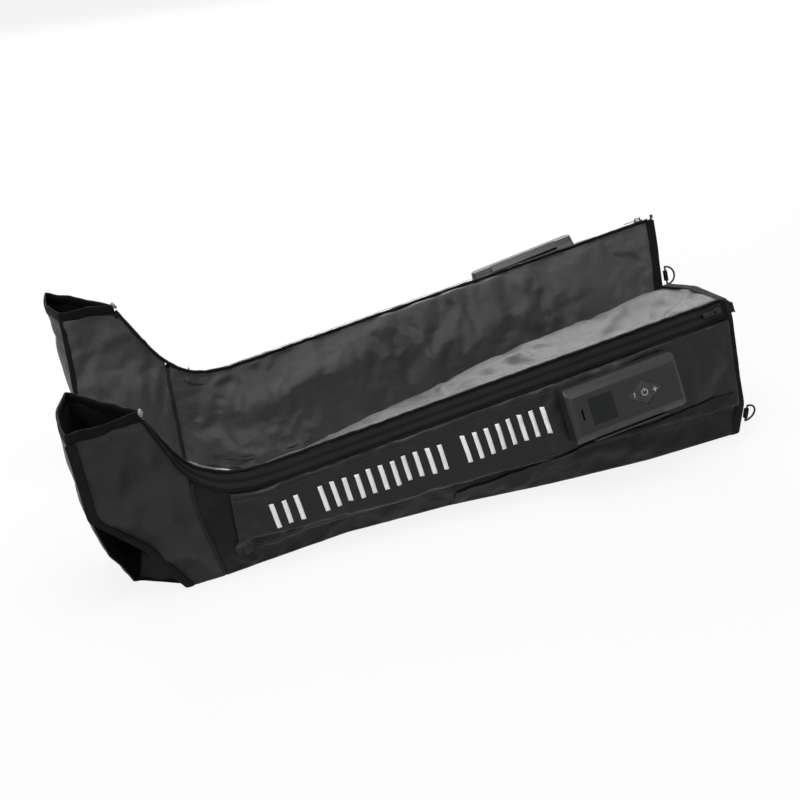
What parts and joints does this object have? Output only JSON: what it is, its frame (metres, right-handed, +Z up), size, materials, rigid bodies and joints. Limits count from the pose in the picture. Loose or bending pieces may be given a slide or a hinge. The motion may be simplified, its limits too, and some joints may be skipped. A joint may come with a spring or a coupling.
{
  "type": "air compression boot pair",
  "caption": "Pair of zip-up full-leg air compression boots lying calf down, each with a cordless pump on its outer side: display, rocker keys, D-rings and open toes.",
  "frame": {"origin": "the middle of the pair's bounding box, on the floor that it lies on", "axes": "+X from the feet to the thighs, +Y from the left boot to the right boot, +Z up"},
  "size_m": [1.0104, 0.4898, 0.274],
  "materials": {
    "woven_shell": "coarse plain weave, coated at the back, matt",
    "smooth_shell": "smooth nylon with a satin sheen and soft creases",
    "binding_tape": "folded woven tape, stitched",
    "zip_tape": "twill zip tape with a coil of teeth",
    "dark_metal": "black nickel, glossy",
    "air_film": "welded soft film",
    "air_tube": "soft hose",
    "black_plastic": "black, fine texture",
    "grey_plastic": "mid grey, satin",
    "steel_screws": "plain",
    "display_pane": "dark, polished",
    "key_plastic": "very dark brown-black, satin",
    "board_green": "solder mask",
    "cell_wrap": "shrink film",
    "pump_block": "moulded, natural",
    "shaft_steel": "turned"
  },
  "bodies": {
    "left_boot": {"left_outer_leg_panel": "woven_shell", "left_hose_panel": "smooth_shell", "left_inner_leg_panel": "smooth_shell", "left_calf_panel": "woven_shell", "left_outer_foot_panel": "woven_shell", "left_inner_foot_panel": "smooth_shell", "left_sole_panel": "smooth_shell", "left_heel_flap": "smooth_shell", "left_toe_binding": "binding_tape", "left_thigh_binding": "binding_tape", "left_zipper_tapes": "zip_tape", "left_ring_tabs": "binding_tape", "left_air_chambers": "air_film", "left_air_hoses": "air_tube", "left_pump_dock": "black_plastic", "left_rear_shell": "black_plastic", "left_front_shell": "grey_plastic", "left_shell_screws": "steel_screws", "left_display_window": "display_pane", "left_circuit_board": "board_green", "left_battery_pack": "cell_wrap", "left_air_pump": "pump_block"},
    "left_zipper_slider": {"left_zipper_slider": "dark_metal"},
    "left_zipper_pull": {"left_zipper_pull": "dark_metal"},
    "left_outer_ring": {"left_outer_ring": "dark_metal"},
    "left_inner_ring": {"left_inner_ring": "dark_metal"},
    "left_minus_button": {"left_minus_button": "key_plastic"},
    "left_power_button": {"left_power_button": "key_plastic"},
    "left_plus_button": {"left_plus_button": "key_plastic"},
    "left_drive_eccentric": {"left_drive_eccentric": "shaft_steel"},
    "right_boot": {"right_outer_leg_panel": "woven_shell", "right_hose_panel": "smooth_shell", "right_inner_leg_panel": "smooth_shell", "right_calf_panel": "woven_shell", "right_outer_foot_panel": "woven_shell", "right_inner_foot_panel": "smooth_shell", "right_sole_panel": "smooth_shell", "right_heel_flap": "smooth_shell", "right_toe_binding": "binding_tape", "right_thigh_binding": "binding_tape", "right_zipper_tapes": "zip_tape", "right_ring_tabs": "binding_tape", "right_air_chambers": "air_film", "right_air_hoses": "air_tube", "right_pump_dock": "black_plastic", "right_rear_shell": "black_plastic", "right_front_shell": "grey_plastic", "right_shell_screws": "steel_screws", "right_display_window": "display_pane", "right_circuit_board": "board_green", "right_battery_pack": "cell_wrap", "right_air_pump": "pump_block"},
    "right_zipper_slider": {"right_zipper_slider": "dark_metal"},
    "right_zipper_pull": {"right_zipper_pull": "dark_metal"},
    "right_outer_ring": {"right_outer_ring": "dark_metal"},
    "right_inner_ring": {"right_inner_ring": "dark_metal"},
    "right_minus_button": {"right_minus_button": "key_plastic"},
    "right_power_button": {"right_power_button": "key_plastic"},
    "right_plus_button": {"right_plus_button": "key_plastic"},
    "right_drive_eccentric": {"right_drive_eccentric": "shaft_steel"}
  },
  "joints": [
    {"name": "right_boot_slide", "type": "slide", "parent": "left_boot", "child": "right_boot", "axis": [0, 1, 0], "range_m": [0, 0.25]},
    {"name": "left_zip_slide", "type": "slide", "parent": "left_boot", "child": "left_zipper_slider", "axis": [-0.9954, -0.0399, -0.087], "range_m": [0, 0.65]},
    {"name": "left_pull_hinge", "type": "hinge", "parent": "left_zipper_slider", "child": "left_zipper_pull", "pos_m": [0.416, -0.16549, 0.19903], "axis": [-0.0952, 0.5064, 0.857], "range_deg": [0, 150]},
    {"name": "left_outer_ring_hinge", "type": "hinge", "parent": "left_boot", "child": "left_outer_ring", "pos_m": [0.45112, -0.18962, 0.033], "axis": [0.0078, -0.1437, 0.9896], "range_deg": [-75, 75]},
    {"name": "left_inner_ring_hinge", "type": "hinge", "parent": "left_boot", "child": "left_inner_ring", "pos_m": [0.42082, -0.02091, 0.1602], "axis": [0.0063, -0.1157, 0.9933], "range_deg": [-75, 75]},
    {"name": "left_minus_press", "type": "slide", "parent": "left_boot", "child": "left_minus_button", "axis": [-0.0032, 0.9214, -0.3886], "range_m": [0, 0.0012], "stiffness_N_per_m": 1500},
    {"name": "left_power_press", "type": "slide", "parent": "left_boot", "child": "left_power_button", "axis": [-0.0032, 0.9214, -0.3886], "range_m": [0, 0.0012], "stiffness_N_per_m": 1500},
    {"name": "left_plus_press", "type": "slide", "parent": "left_boot", "child": "left_plus_button", "axis": [-0.0032, 0.9214, -0.3886], "range_m": [0, 0.0012], "stiffness_N_per_m": 1500},
    {"name": "left_drive_spin", "type": "hinge", "parent": "left_boot", "child": "left_drive_eccentric", "pos_m": [0.21722, -0.20619, 0.1404], "axis": [0.9948, 0.0423, 0.0921], "continuous": true},
    {"name": "right_zip_slide", "type": "slide", "parent": "right_boot", "child": "right_zipper_slider", "axis": [-0.9932, -0.0049, -0.1159], "range_m": [0, 0.65]},
    {"name": "right_pull_hinge", "type": "hinge", "parent": "right_zipper_slider", "child": "right_zipper_pull", "pos_m": [0.44827, 0.1477, 0.21093], "axis": [0.0515, 0.8766, -0.4784], "range_deg": [0, 150]},
    {"name": "right_outer_ring_hinge", "type": "hinge", "parent": "right_boot", "child": "right_outer_ring", "pos_m": [0.48969, 0.20713, 0.03], "axis": [0.0085, 0.1578, 0.9874], "range_deg": [-75, 75]},
    {"name": "right_inner_ring_hinge", "type": "hinge", "parent": "right_boot", "child": "right_inner_ring", "pos_m": [0.46917, 0.09424, 0.12994], "axis": [0.0217, 0.4009, 0.9159], "range_deg": [-75, 75]},
    {"name": "right_minus_press", "type": "slide", "parent": "right_boot", "child": "right_minus_button", "axis": [0.0286, -0.8679, -0.496], "range_m": [0, 0.0012], "stiffness_N_per_m": 1500},
    {"name": "right_power_press", "type": "slide", "parent": "right_boot", "child": "right_power_button", "axis": [0.0286, -0.8679, -0.496], "range_m": [0, 0.0012], "stiffness_N_per_m": 1500},
    {"name": "right_plus_press", "type": "slide", "parent": "right_boot", "child": "right_plus_button", "axis": [0.0286, -0.8679, -0.496], "range_m": [0, 0.0012], "stiffness_N_per_m": 1500},
    {"name": "right_drive_spin", "type": "hinge", "parent": "right_boot", "child": "right_drive_eccentric", "pos_m": [0.25509, 0.21415, 0.11865], "axis": [0.9728, -0.0899, 0.2133], "continuous": true}
  ]
}
